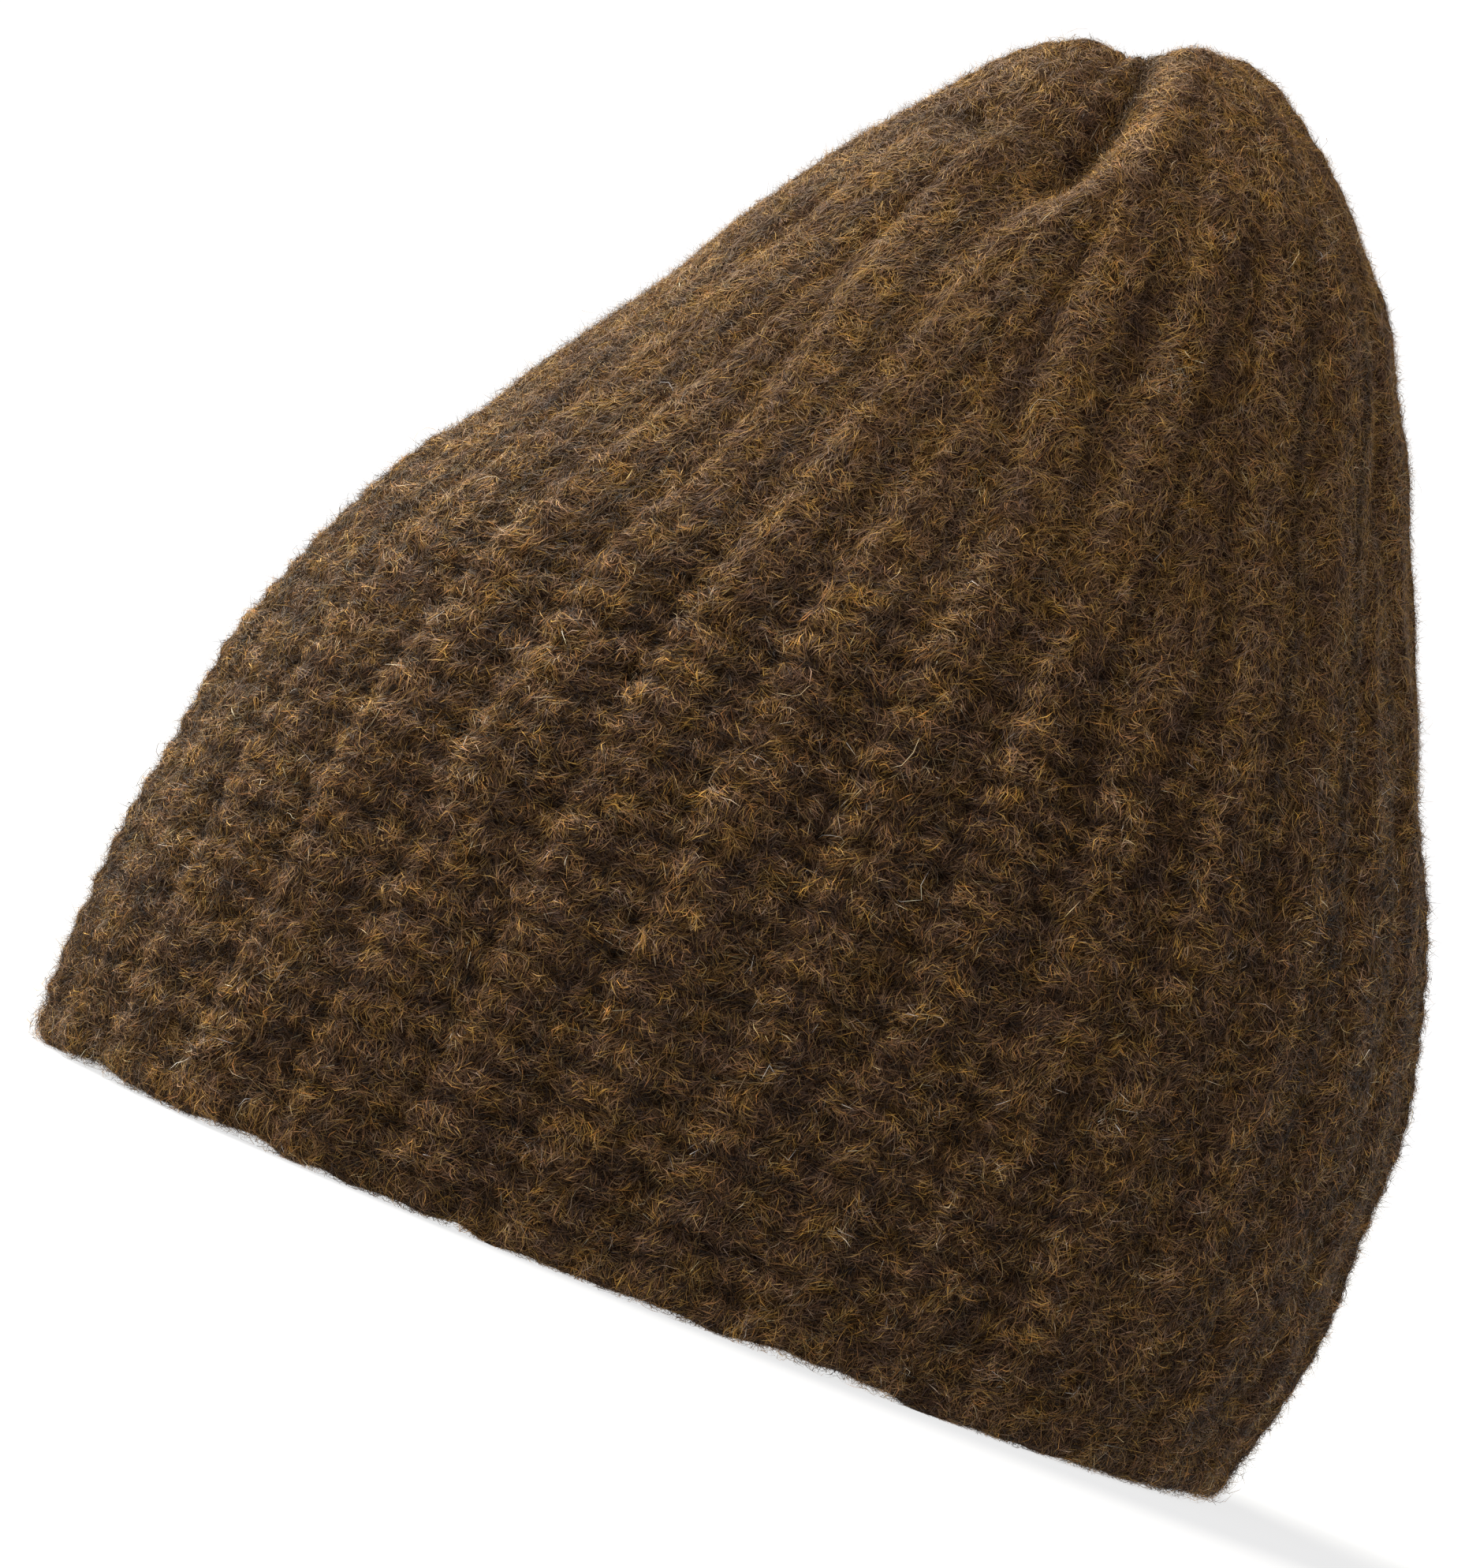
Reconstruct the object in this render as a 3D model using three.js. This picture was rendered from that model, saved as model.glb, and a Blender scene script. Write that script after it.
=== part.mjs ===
// A brushed-wool beanie that stands on its brim: one knitted, ribbed wall, hollow for the head and drawn
// together in a pucker at the crown. Millimetres, +Z up. The front is -Y and the opening faces down at z = 0.
import * as THREE from "three";

// Ribs: vertical columns of knitting. Towards the crown the middle rib of each group of three is decreased.
const GROUPS = 10;
const RIBS_IN_GROUP = 3;
const GROUP_START = THREE.MathUtils.degToRad(-27.9); // azimuth of the groove that opens one group
const RIB_DEPTH = 2.6;
const RIB_PROFILE = [0, 1, 0.92, 0.38, 0]; // share of the depth at even steps from groove to groove
const DECREASE_FROM = 120; // height where the middle ribs start to narrow
const DECREASE_TO = 190; // height where they are gone
const BRIM_FADE = 16; // the ribs flatten towards the cast-on edge over this height
const BRIM_RELIEF = 0.35; // share of the rib depth that is left at the edge
const CROWN_RELIEF = 0.28; // share of the rib depth that is left in the gathers
const CROWN_WIDTH = 64; // half-width below which the gathers start to flatten the ribs
const PUCKER_WIDTH = 6; // half-width below which the pucker swallows them
const INNER_RELIEF = 0.3; // the wall's inner side shows the ribs this much

// Sections from brim to pucker. halfWidth is left to right and halfDepth front to back, over the ribs;
// leanX moves the section sideways; rise lifts its right side and sinks its left; the inner wall lies side
// further in and drop lower. rows is the number of mesh rows that the outer skin takes to get there.
const SECTIONS = [
  { z: 4, halfWidth: 103, halfDepth: 81.5, leanX: -3.6, rise: 0, side: 6.5, drop: 0, rows: 1 },
  { z: 22, halfWidth: 105.1, halfDepth: 84, leanX: -1.4, rise: 0, side: 6, drop: 0, rows: 1 },
  { z: 44, halfWidth: 104.9, halfDepth: 84.5, leanX: 0.4, rise: 0, side: 6, drop: 0, rows: 1 },
  { z: 66, halfWidth: 103.2, halfDepth: 83.5, leanX: 1.9, rise: 0, side: 6, drop: 0.8, rows: 1 },
  { z: 86, halfWidth: 98.4, halfDepth: 80.5, leanX: 3, rise: 0, side: 5.8, drop: 1.6, rows: 1 },
  { z: 104, halfWidth: 91.2, halfDepth: 76, leanX: 3.5, rise: 0, side: 5.5, drop: 2.4, rows: 2 },
  { z: 121, halfWidth: 81.7, halfDepth: 69.5, leanX: 5.2, rise: 0, side: 5.2, drop: 3, rows: 2 },
  { z: 139, halfWidth: 72.2, halfDepth: 62.5, leanX: 6.9, rise: 0, side: 5.2, drop: 3, rows: 1 },
  { z: 157, halfWidth: 62.9, halfDepth: 55.5, leanX: 8.4, rise: 0, side: 5.2, drop: 3, rows: 1 },
  { z: 173, halfWidth: 54.3, halfDepth: 49, leanX: 10, rise: 0, side: 5, drop: 3.5, rows: 2 },
  { z: 188, halfWidth: 44.7, halfDepth: 41.5, leanX: 10.5, rise: 0, side: 4.5, drop: 3.8, rows: 2 },
  { z: 200.5, halfWidth: 34.5, halfDepth: 33, leanX: 9.9, rise: 0.8, side: 4, drop: 4.4, rows: 2 },
  { z: 210, halfWidth: 24.1, halfDepth: 23.8, leanX: 8.2, rise: 2, side: 3, drop: 5.4, rows: 3 },
  { z: 216, halfWidth: 14.8, halfDepth: 14.5, leanX: 7, rise: 2.8, side: 1.4, drop: 7.5, rows: 2 },
  { z: 217, halfWidth: 7.6, halfDepth: 7.4, leanX: 5, rise: 2.5, side: 0.6, drop: 9.5, rows: 2 },
  { z: 213.5, halfWidth: 3, halfDepth: 3, leanX: 3.2, rise: 0.8, side: 0.2, drop: 8.5, rows: 2 },
  { z: 210.5, halfWidth: 0, halfDepth: 0, leanX: 2.8, rise: 0, side: 0, drop: 7.5, rows: 1 },
];

// Folds of the crown: valleys, or ridges where the depth is negative. Each runs through its knots, whose
// azimuth is in degrees from the front to the right; left and right are the widths of its two sides.
const FOLDS = [
  // main crease, between the two lobes at the front
  {
    left: 9.5,
    right: 5,
    knots: [
      { azimuth: -15, z: 217, depth: 4 },
      { azimuth: -15, z: 204, depth: 9 },
      { azimuth: -19, z: 190, depth: 8 },
      { azimuth: -30, z: 175, depth: 0 },
    ],
  },
  // ridge along the crease's right side
  {
    left: 4,
    right: 6,
    knots: [
      { azimuth: -2, z: 214, depth: -1 },
      { azimuth: -5, z: 203, depth: -2 },
      { azimuth: -10, z: 191, depth: -2 },
      { azimuth: -24, z: 172, depth: 0 },
    ],
  },
  // dent under the left lobe, running into the crease
  {
    left: 4.5,
    right: 4.5,
    knots: [
      { azimuth: -62, z: 191, depth: 0.5 },
      { azimuth: -48, z: 193, depth: 3.5 },
      { azimuth: -32, z: 195, depth: 1.5 },
    ],
  },
  // crease at the back, opposite the main one
  {
    left: 6,
    right: 7,
    knots: [
      { azimuth: -158, z: 216, depth: 2 },
      { azimuth: -160, z: 203, depth: 5 },
      { azimuth: -166, z: 182, depth: 0.5 },
    ],
  },
  ...[
    // gathering pleats: azimuth and height at either end, and the depth at the pucker
    { fromAzimuth: -96, fromZ: 212, toAzimuth: -92, toZ: 184, depth: 2.4 },
    { fromAzimuth: 62, fromZ: 217, toAzimuth: 50, toZ: 188, depth: 2.2 },
    { fromAzimuth: 140, fromZ: 216, toAzimuth: 128, toZ: 182, depth: 2.6 },
  ].map(({ fromAzimuth, fromZ, toAzimuth, toZ, depth }) => ({
    left: 5,
    right: 5,
    knots: [
      { azimuth: fromAzimuth, z: fromZ, depth },
      { azimuth: toAzimuth, z: toZ, depth: 0.3 },
    ],
  })),
];
const FULL_FOLD = 7; // fold depth that squeezes the ribs flat
const FOLD_WIDTH = 9; // half-width below which the folds fade into the pucker

// Brim edge: the rim rounds off below the first section and rests on a flat ring. inset is from either side.
const RIM = [
  { z: 1.2, inset: 0.7 },
  { z: 0, inset: 2.3 },
];

// Mesh: columns around both skins.
const COLUMNS_PER_RIB = 4;
const COLUMNS = GROUPS * RIBS_IN_GROUP * COLUMNS_PER_RIB;

const FULL_TURN = 2 * Math.PI;
const smooth = (t) => THREE.MathUtils.smoothstep(t, 0, 1);

// A column of SECTIONS at a real-valued row number, by a uniform Catmull-Rom spline.
function sectionValue(key, station) {
  const last = SECTIONS.length - 1;
  const i = Math.min(Math.floor(station), last - 1);
  const t = station - i;
  const [before, from, to, after] = [i - 1, i, i + 1, i + 2].map(
    (k) => SECTIONS[THREE.MathUtils.clamp(k, 0, last)][key],
  );
  return (
    from +
    0.5 * t * (to - before) +
    t * t * (before - 2.5 * from + 2 * to - 0.5 * after) +
    t * t * t * (1.5 * (from - to) + 0.5 * (after - before))
  );
}

// Height of a rib's profile, 0 in its grooves and 1 on its crest, at a share of its width.
function ribProfile(across) {
  const place = THREE.MathUtils.clamp(across, 0, 1) * (RIB_PROFILE.length - 1);
  const k = Math.min(Math.floor(place), RIB_PROFILE.length - 2);
  return THREE.MathUtils.lerp(RIB_PROFILE[k], RIB_PROFILE[k + 1], place - k);
}

// Depth of the ribbing below its crests. turn is the place around the wall, evenly spaced along it.
function ribRelief(turn, z, halfWidth) {
  const gone = smooth((z - DECREASE_FROM) / (DECREASE_TO - DECREASE_FROM));
  const inGroup = THREE.MathUtils.euclideanModulo(((turn - GROUP_START) / FULL_TURN) * GROUPS, 1);
  const middle = (1 - gone) / RIBS_IN_GROUP;
  const side = (1 - middle) / 2;
  const ribs = [
    { from: 0, width: side, height: 1 },
    { from: side, width: middle, height: 1 - gone },
    { from: side + middle, width: side, height: 1 },
  ];
  const rib = ribs.findLast(({ from }) => inGroup >= from);
  const profile = rib.height * ribProfile((inGroup - rib.from) / rib.width);
  const brim = THREE.MathUtils.lerp(BRIM_RELIEF, 1, smooth(z / BRIM_FADE));
  const crown = THREE.MathUtils.lerp(CROWN_RELIEF, 1, smooth(halfWidth / CROWN_WIDTH));
  return RIB_DEPTH * brim * crown * smooth(halfWidth / PUCKER_WIDTH) * (1 - profile);
}

// Depth of one fold at a place of the wall: its knots are joined by straight lines on the unrolled wall.
function foldDepth({ left, right, knots }, azimuth, z, radius) {
  const degrees = THREE.MathUtils.radToDeg(azimuth);
  const turned = degrees - 360 * Math.round((degrees - knots[0].azimuth) / 360);
  const unrolled = (angle, height) => new THREE.Vector3(THREE.MathUtils.degToRad(angle) * radius, height, 0);
  const here = unrolled(turned, z);
  let nearest = { away: Infinity };
  for (let k = 1; k < knots.length; k++) {
    const [from, to] = [knots[k - 1], knots[k]];
    const line = new THREE.Line3(unrolled(from.azimuth, from.z), unrolled(to.azimuth, to.z));
    const along = line.closestPointToPointParameter(here, true);
    const foot = line.at(along, new THREE.Vector3());
    const away = foot.distanceTo(here);
    const depth = THREE.MathUtils.lerp(from.depth, to.depth, along);
    if (away < nearest.away) nearest = { away, depth, width: here.x < foot.x ? left : right };
  }
  return nearest.depth * Math.exp(-((nearest.away / nearest.width) ** 2));
}

// Direction square to the smooth wall: straight out at its steep sides, up on its flat top.
function outward(angle, station, halfWidth, halfDepth) {
  const step = 0.05;
  const wider = sectionValue("halfWidth", station - step) - sectionValue("halfWidth", station + step);
  const higher = sectionValue("z", station + step) - sectionValue("z", station - step);
  const slope = Math.atan2(wider, higher);
  const level = new THREE.Vector3(Math.sin(angle) * halfDepth, -Math.cos(angle) * halfWidth, 0).normalize();
  return level.multiplyScalar(Math.cos(slope)).setZ(Math.sin(slope));
}

// A point of the outer skin, or of the inner one, at a place around the wall and a station up it.
function skinPoint(turn, station, inner) {
  const row = Object.fromEntries(Object.keys(SECTIONS[0]).map((key) => [key, sectionValue(key, station)]));
  const flattening = (row.halfWidth - row.halfDepth) / Math.max(row.halfWidth + row.halfDepth, 1);
  const angle = turn - 0.5 * flattening * Math.sin(2 * turn); // spaces the points evenly along the ellipse
  const z = row.z + row.rise * Math.sin(angle);
  const folds = FOLDS.reduce((sum, fold) => sum + foldDepth(fold, angle, z, Math.max(row.halfWidth, 1)), 0);
  const squeeze = smooth(1 - Math.abs(folds) / FULL_FOLD);
  const relief = ribRelief(turn, z, row.halfWidth) * squeeze * (inner ? INNER_RELIEF : 1);
  const inwards = relief + folds * smooth(row.halfWidth / FOLD_WIDTH);
  const width = Math.max(row.halfWidth - (inner ? row.side : 0), 0);
  const depth = Math.max(row.halfDepth - (inner ? row.side : 0), 0);
  const point = new THREE.Vector3(
    row.leanX + width * Math.sin(angle),
    -depth * Math.cos(angle),
    z - (inner ? row.drop : 0),
  );
  return point.addScaledVector(outward(angle, station, row.halfWidth, row.halfDepth), -inwards);
}

// The whole wall as one closed shell: down the inner skin, round the brim's rim and up the outer skin.
function wallGeometry() {
  const turns = Array.from({ length: COLUMNS }, (_, k) => GROUP_START + (k / COLUMNS) * FULL_TURN);
  const ring = (station, inner) => turns.map((turn) => skinPoint(turn, station, inner));
  const outer = SECTIONS.flatMap(({ rows }, i) =>
    Array.from({ length: rows }, (_, k) => ring(i - 1 + (k + 1) / rows, false)),
  );
  const inner = SECTIONS.map((_, i) => ring(i, true));
  const centre = new THREE.Vector3(SECTIONS[0].leanX, 0, 0);
  const rimRing = (skin, side, { z, inset }) =>
    skin.map((point) => {
      const level = new THREE.Vector3(point.x, point.y, 0);
      const towardsCentre = new THREE.Vector3().subVectors(centre, level).normalize();
      return level.addScaledVector(towardsCentre, side * inset).setZ(z);
    });
  const rings = [
    ...inner.slice(0, -1).reverse(),
    ...RIM.map((row) => rimRing(inner[0], -1, row)),
    ...RIM.map((row) => rimRing(outer[0], 1, row)).reverse(),
    ...outer.slice(0, -1),
  ];
  const points = rings.flat();
  const innerPole = points.push(inner.at(-1)[0]) - 1;
  const outerPole = points.push(outer.at(-1)[0]) - 1;
  const index = [];
  for (let r = 0; r < rings.length - 1; r++)
    for (let c = 0; c < COLUMNS; c++) {
      const [a, b] = [r * COLUMNS + c, r * COLUMNS + ((c + 1) % COLUMNS)];
      index.push(a, b, b + COLUMNS, a, b + COLUMNS, a + COLUMNS);
    }
  const lastRing = (rings.length - 1) * COLUMNS;
  for (let c = 0; c < COLUMNS; c++) {
    const next = (c + 1) % COLUMNS;
    index.push(innerPole, next, c);
    index.push(outerPole, lastRing + c, lastRing + next);
  }
  return new THREE.BufferGeometry().setFromPoints(points).setIndex(index);
}

function knitBody() {
  const wool = new THREE.MeshStandardMaterial({ color: 0x4a3622, roughness: 0.95, metalness: 0 });
  const geometry = wallGeometry();
  geometry.computeVertexNormals();
  const mesh = new THREE.Mesh(geometry, wool);
  mesh.name = "knit_body";
  return mesh;
}

const beanie = new THREE.Group();
beanie.add(knitBody());
export default beanie;
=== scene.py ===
"""A brushed-wool beanie that stands on its brim: its knitted wall, the loose fibres on it and the studio.

Lengths are millimetres in the classes below and become metres where a mesh, a light or a texture is made.
"""

import logging
from dataclasses import astuple, dataclass, field
from enum import Enum

import bpy
import numpy as np
from bpy.types import ID, Material, Node, NodeSocket, NodeTree, Object
from mathutils import Matrix, Vector
from numpy.random import Generator
from numpy.typing import NDArray

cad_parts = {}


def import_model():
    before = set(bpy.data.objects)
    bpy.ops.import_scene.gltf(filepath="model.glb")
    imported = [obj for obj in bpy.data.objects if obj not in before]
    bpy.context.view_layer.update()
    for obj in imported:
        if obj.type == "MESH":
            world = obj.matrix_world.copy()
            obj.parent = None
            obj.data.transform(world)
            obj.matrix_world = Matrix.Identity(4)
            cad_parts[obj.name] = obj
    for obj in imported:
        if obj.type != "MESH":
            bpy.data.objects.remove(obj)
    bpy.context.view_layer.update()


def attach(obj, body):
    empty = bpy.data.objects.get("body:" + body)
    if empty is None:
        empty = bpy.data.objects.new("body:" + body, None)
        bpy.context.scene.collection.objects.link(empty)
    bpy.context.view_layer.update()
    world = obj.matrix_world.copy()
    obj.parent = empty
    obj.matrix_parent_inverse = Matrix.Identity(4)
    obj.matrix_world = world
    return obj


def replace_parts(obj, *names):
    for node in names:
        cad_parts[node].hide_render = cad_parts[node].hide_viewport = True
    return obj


Array = NDArray[np.float64]
Faces = NDArray[np.int32]
Pair = tuple[float, float]
Number = float | Array
Colour = tuple[float, float, float, float]
Inputs = dict[str | int, NodeSocket | float | Colour]

MM = 0.001
TINY = 1e-9
FULL_TURN = 2.0 * np.pi
WHITE = (1.0, 1.0, 1.0, 1.0)
WAVE_MIX = (0.7, 1.5)  # shortest and longest wave of a random field, as shares of its size
LOG = logging.getLogger("beanie")


def smooth(value: Array, low: float = 0.0, high: float = 1.0) -> Array:
    """Smoothstep: 3t^2 - 2t^3, where t is the value's place from low to high, clipped to 0..1."""
    t = np.clip((value - low) / (high - low), 0.0, 1.0)
    return t * t * (3.0 - 2.0 * t)


def lerp(low: Number, high: Number, share: Number) -> Number:
    """Straight blend: low at share 0 and high at share 1."""
    return low + (high - low) * share


def crest(turns: Array) -> Array:
    """Raised cosine, 0.5 + 0.5 cos(2 pi turns): 1 at whole turns and 0 at half ones."""
    return 0.5 + 0.5 * np.cos(FULL_TURN * turns)


def bell(x: Array) -> Array:
    """Bell curve, exp(-x^2)."""
    return np.exp(-(x**2))


def unit(vectors: Array) -> Array:
    """Each vector divided by its own length."""
    return vectors / np.maximum(np.linalg.norm(vectors, axis=-1, keepdims=True), TINY)


def together(x: Array, y: Array, z: Array) -> Array:
    """Vectors made of three arrays that broadcast to one shape."""
    return np.stack(np.broadcast_arrays(x, y, z), axis=-1)


def spline(values: Array, station: Array, closed: bool = False) -> Array:
    """Uniform Catmull-Rom spline: cubics whose slope at a value is half the step between its neighbours.

    Args:
        values: What it passes through at whole stations.
        station: Real-valued places.
        closed: Whether the values run round and round.

    Returns:
        Its values there.
    """
    low = np.floor(station).astype(int)
    low = low if closed else np.clip(low, 0, len(values) - 2)
    t = station - low
    ends = "wrap" if closed else "clip"
    before, start, end, after = (np.take(values, low + k, mode=ends) for k in (-1, 0, 1, 2))
    return (
        start
        + 0.5 * t * (end - before)
        + t**2 * (before - 2.5 * start + 2.0 * end - 0.5 * after)
        + t**3 * (1.5 * (start - end) + 0.5 * (after - before))
    )


@dataclass(frozen=True)
class RandomField:
    """Smooth random values over space: a sum of sine waves in random directions, around 0."""

    size: float  # wavelength of its features
    seed: int
    waves: int = 12  # number of waves in the sum
    spread: float = 1.0

    def at(self, points: Array) -> Array:
        """Values at points: the sum over all waves of sin(wave vector . point + phase), scaled to the spread.

        Args:
            points: Positions, last axis x, y, z.

        Returns:
            One value for each point.
        """
        rng = np.random.default_rng(self.seed)
        heading = unit(rng.normal(size=(self.waves, 3)))
        vectors = heading * (FULL_TURN / (self.size * rng.uniform(*WAVE_MIX, (self.waves, 1))))
        phases = rng.uniform(0.0, FULL_TURN, self.waves)
        total = sum(np.sin(points @ vector + phase) for vector, phase in zip(vectors, phases))
        return self.spread * (total * np.sqrt(2.0 / self.waves))


@dataclass(frozen=True)
class Section:
    """One level of the wall, from brim to pucker."""

    z: Number
    half_width: Number  # over the ribs
    half_depth: Number
    lean_x: Number  # sideways place of the level's centre
    rise: Number  # lift of the right side and sink of the left
    side: Number  # from the outer to the inner wall, measured level
    drop: Number  # the same, measured down


@dataclass(frozen=True)
class Knot:
    """A point on a fold's line: azimuth in degrees from the front to the right, height and depth there."""

    azimuth: float
    z: float
    depth: float


@dataclass(frozen=True)
class Fold:
    """A valley of the crown, or a ridge where the depth is negative, with the widths of its two sides."""

    left: float
    right: float
    knots: tuple[Knot, ...]

    def depth(self, angle: Array, z: Array, radius: Array) -> Array:
        """Depth of the fold, on the unrolled wall with azimuth times radius and height as its axes.

        The fold follows straight lines through its knots, and its depth falls off on either side as a bell
        curve of the distance over the width.

        Args:
            angle: Azimuth in radians.
            z: Height.
            radius: Half-width of the wall there, above 0.

        Returns:
            Depth, negative on ridges.
        """
        degrees = np.degrees(angle)
        turned = degrees - 360.0 * np.round((degrees - self.knots[0].azimuth) / 360.0)
        here = np.radians(turned) * radius
        depth, nearest = 0.0, np.inf
        for start, end in zip(self.knots, self.knots[1:]):
            x0, x1 = np.radians(start.azimuth) * radius, np.radians(end.azimuth) * radius
            dx, dz = x1 - x0, end.z - start.z
            along = np.clip(((here - x0) * dx + (z - start.z) * dz) / (dx**2 + dz**2), 0.0, 1.0)
            foot = x0 + along * dx
            away = np.hypot(here - foot, z - (start.z + along * dz))
            width = np.where(here < foot, self.left, self.right)
            depth = np.where(away < nearest, lerp(start.depth, end.depth, along) * bell(away / width), depth)
            nearest = np.minimum(nearest, away)
        return depth


@dataclass(frozen=True)
class RibPlace:
    """Where points lie among the ribs."""

    across: Array  # share of the rib's width from its opening groove
    share: Array  # share of the whole turn that the rib takes
    height: Array  # what is left of the rib, 0 where it is decreased away

    def beside(self, place: float, width: Array) -> Array:
        """Distance to the right of the nearest place with that share across, on ribs of a width."""
        away = self.across - place
        return width * (away - np.round(away))


SECTIONS = (
    Section(4, 103, 81.5, -3.6, 0, 6.5, 0),
    Section(22, 105.1, 84, -1.4, 0, 6, 0),
    Section(44, 104.9, 84.5, 0.4, 0, 6, 0),
    Section(66, 103.2, 83.5, 1.9, 0, 6, 0.8),
    Section(86, 98.4, 80.5, 3, 0, 5.8, 1.6),
    Section(104, 91.2, 76, 3.5, 0, 5.5, 2.4),
    Section(121, 81.7, 69.5, 5.2, 0, 5.2, 3),
    Section(139, 72.2, 62.5, 6.9, 0, 5.2, 3),
    Section(157, 62.9, 55.5, 8.4, 0, 5.2, 3),
    Section(173, 54.3, 49, 10, 0, 5, 3.5),
    Section(188, 44.7, 41.5, 10.5, 0, 4.5, 3.8),
    Section(200.5, 34.5, 33, 9.9, 0.8, 4, 4.4),
    Section(210, 24.1, 23.8, 8.2, 2, 3, 5.4),
    Section(216, 14.8, 14.5, 7, 2.8, 1.4, 7.5),
    Section(217, 7.6, 7.4, 5, 2.5, 0.6, 9.5),
    Section(213.5, 3, 3, 3.2, 0.8, 0.2, 8.5),
    Section(210.5, 0, 0, 2.8, 0, 0, 7.5),
)

FOLDS = (
    # main crease, between the two lobes at the front
    Fold(9.5, 5, (Knot(-15, 217, 4), Knot(-15, 204, 9), Knot(-19, 190, 8), Knot(-30, 175, 0))),
    # ridge along the crease's right side
    Fold(4, 6, (Knot(-2, 214, -1), Knot(-5, 203, -2), Knot(-10, 191, -2), Knot(-24, 172, 0))),
    # dent under the left lobe, running into the crease
    Fold(4.5, 4.5, (Knot(-62, 191, 0.5), Knot(-48, 193, 3.5), Knot(-32, 195, 1.5))),
    # crease at the back, opposite the main one
    Fold(6, 7, (Knot(-158, 216, 2), Knot(-160, 203, 5), Knot(-166, 182, 0.5))),
    # gathering pleats
    Fold(5, 5, (Knot(-96, 212, 2.4), Knot(-92, 184, 0.3))),
    Fold(5, 5, (Knot(62, 217, 2.2), Knot(50, 188, 0.3))),
    Fold(5, 5, (Knot(140, 216, 2.6), Knot(128, 182, 0.3))),
)

# lines of painted shade at the foot of the creases, and of painted light where their depth, which is a share
# here, is negative
CREASE_SHADE_LINES = (
    # painted shade at the foot of the main crease
    Fold(2.8, 2.0, (Knot(-15, 216, 0.9), Knot(-15, 205, 1), Knot(-18, 194, 0.8), Knot(-25, 182, 0.1))),
    # painted highlight along the ridge beside it
    Fold(3, 4, (Knot(-4, 208, -0.1), Knot(-8, 198, -0.5), Knot(-13, 188, -0.5), Knot(-22, 174, -0.1))),
    # painted shade at the foot of the dent under the left lobe
    Fold(2.2, 2.2, (
        Knot(-66, 189, 0.3), Knot(-54, 194, 0.8), Knot(-45, 192, 0.9), Knot(-30, 193, 0.5),
        Knot(-20, 196, 0.4),
    )),
    # painted shade at the foot of the crease at the back
    Fold(2.5, 2.5, (Knot(-158, 216, 0.7), Knot(-160, 203, 0.8), Knot(-166, 184, 0.1))),
)


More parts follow.
